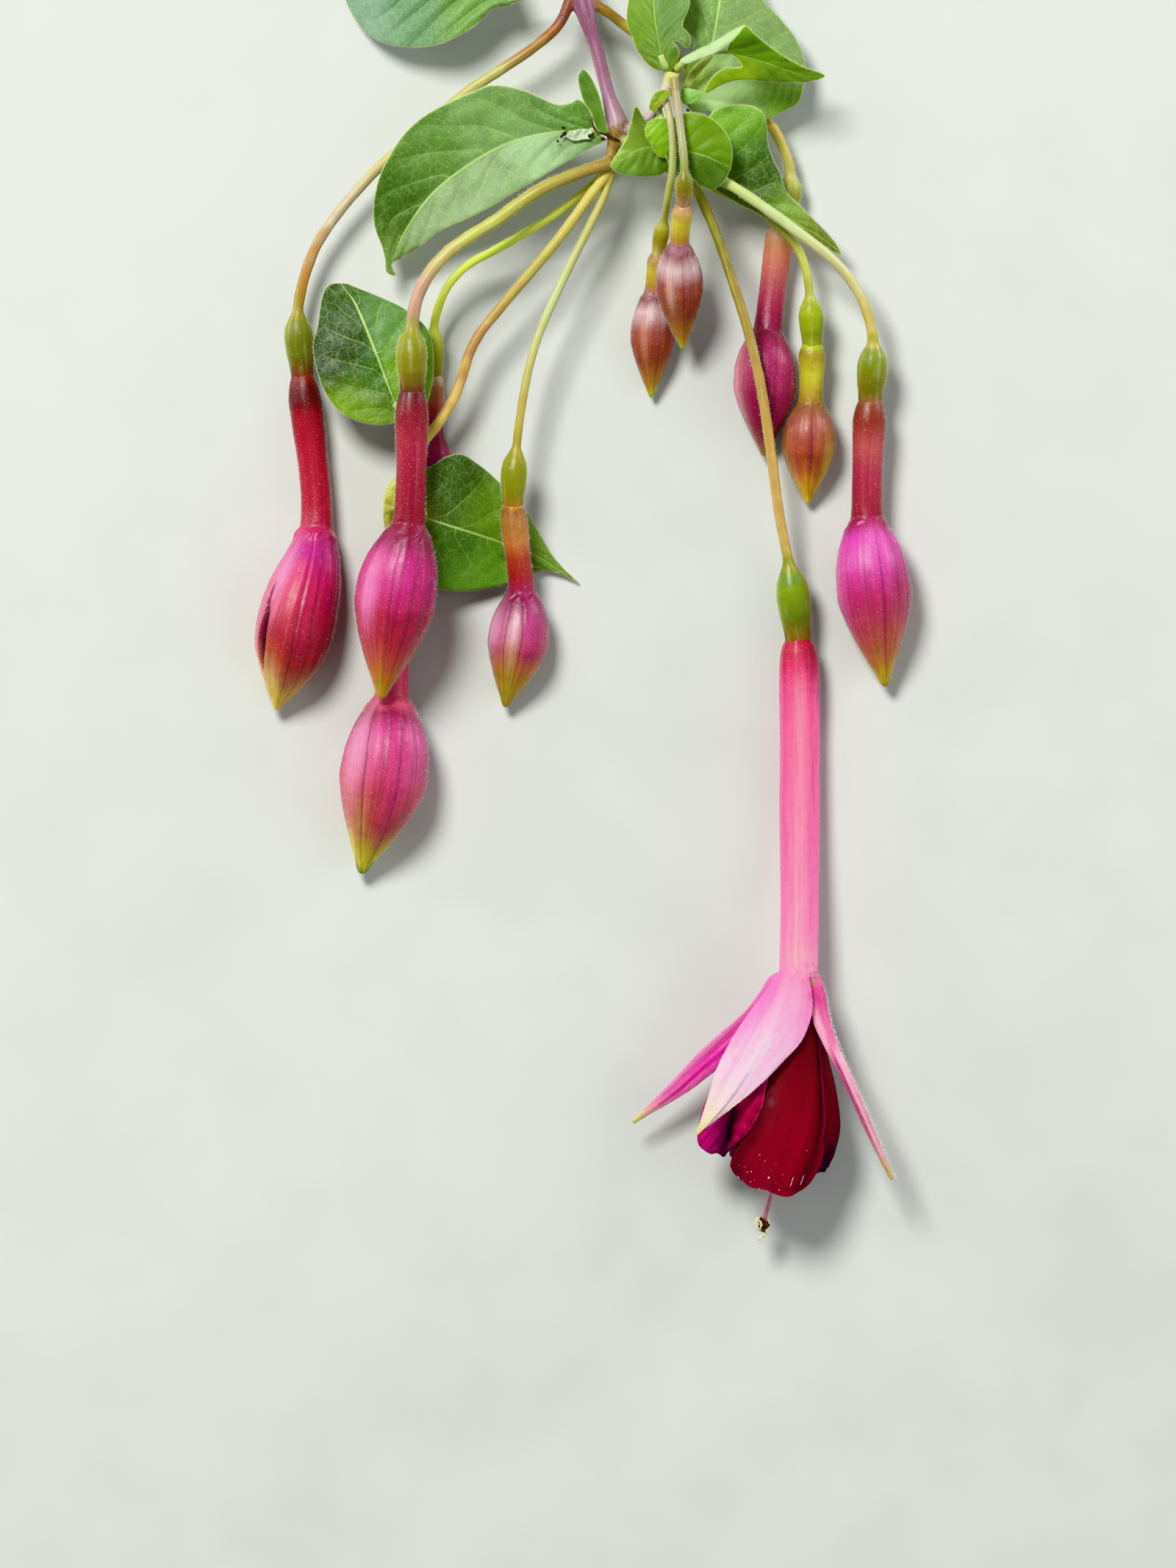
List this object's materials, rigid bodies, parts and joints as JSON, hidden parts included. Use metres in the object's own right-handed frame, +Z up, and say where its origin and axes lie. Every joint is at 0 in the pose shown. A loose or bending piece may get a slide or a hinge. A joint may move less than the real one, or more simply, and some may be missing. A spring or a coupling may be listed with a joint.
{
  "type": "fuchsia flowering shoot",
  "caption": "Cut flowering shoot of a long-tubed fuchsia laid on a flat surface: an open pink and crimson flower, closed pink buds on thin green stalks, and leaves on a purple stem",
  "frame": {"origin": "on the surface that the shoot rests on, under the middle of its bounding box", "axes": "+Z up from the surface; +Y along the shoot towards the cut end of the stem; +X to the right seen from above"},
  "size_m": [0.0972, 0.199, 0.0187],
  "materials": {
    "stem": "matte, finely hairy",
    "stalk": "satin, finely hairy",
    "ripe_bud": "satin, finely hairy",
    "young_bud": "satin, finely hairy",
    "calyx": "satin, finely hairy",
    "corolla": "satin",
    "stamens": "matte",
    "pistil": "satin",
    "leaf": "matte, veined",
    "young_leaf": "matte, veined"
  },
  "bodies": {
    "root": {"stem": "stem", "stalk_far_left": "stalk", "bud_far_left": "ripe_bud", "stalk_front_left": "stalk", "bud_front_left": "ripe_bud", "stalk_behind_left": "stalk", "bud_behind_left": "young_bud", "stalk_low_left": "stalk", "bud_low_left": "ripe_bud", "stalk_middle": "stalk", "bud_middle": "ripe_bud", "stalk_young_front": "stalk", "bud_young_front": "young_bud", "stalk_young_back": "stalk", "bud_young_back": "young_bud", "stalk_behind_right": "stalk", "bud_behind_right": "ripe_bud", "stalk_young_right": "stalk", "bud_young_right": "young_bud", "stalk_far_right": "stalk", "bud_far_right": "ripe_bud", "leaf_top_left": "leaf", "leaf_left": "leaf", "leaf_low_left": "leaf", "leaf_low_middle": "leaf", "leaf_top_centre": "young_leaf", "leaf_top_right": "leaf", "leaf_tip_right": "young_leaf", "leaf_centre_round": "young_leaf", "leaf_centre_folded": "young_leaf", "leaf_right": "leaf", "leaflet_beside_stem": "young_leaf", "leaflet_beside_fork": "young_leaf", "stalk_flower": "stalk", "flower_calyx": "calyx", "flower_corolla": "corolla", "flower_stamens": "stamens", "flower_pistil": "pistil"}
  },
  "joints": []
}
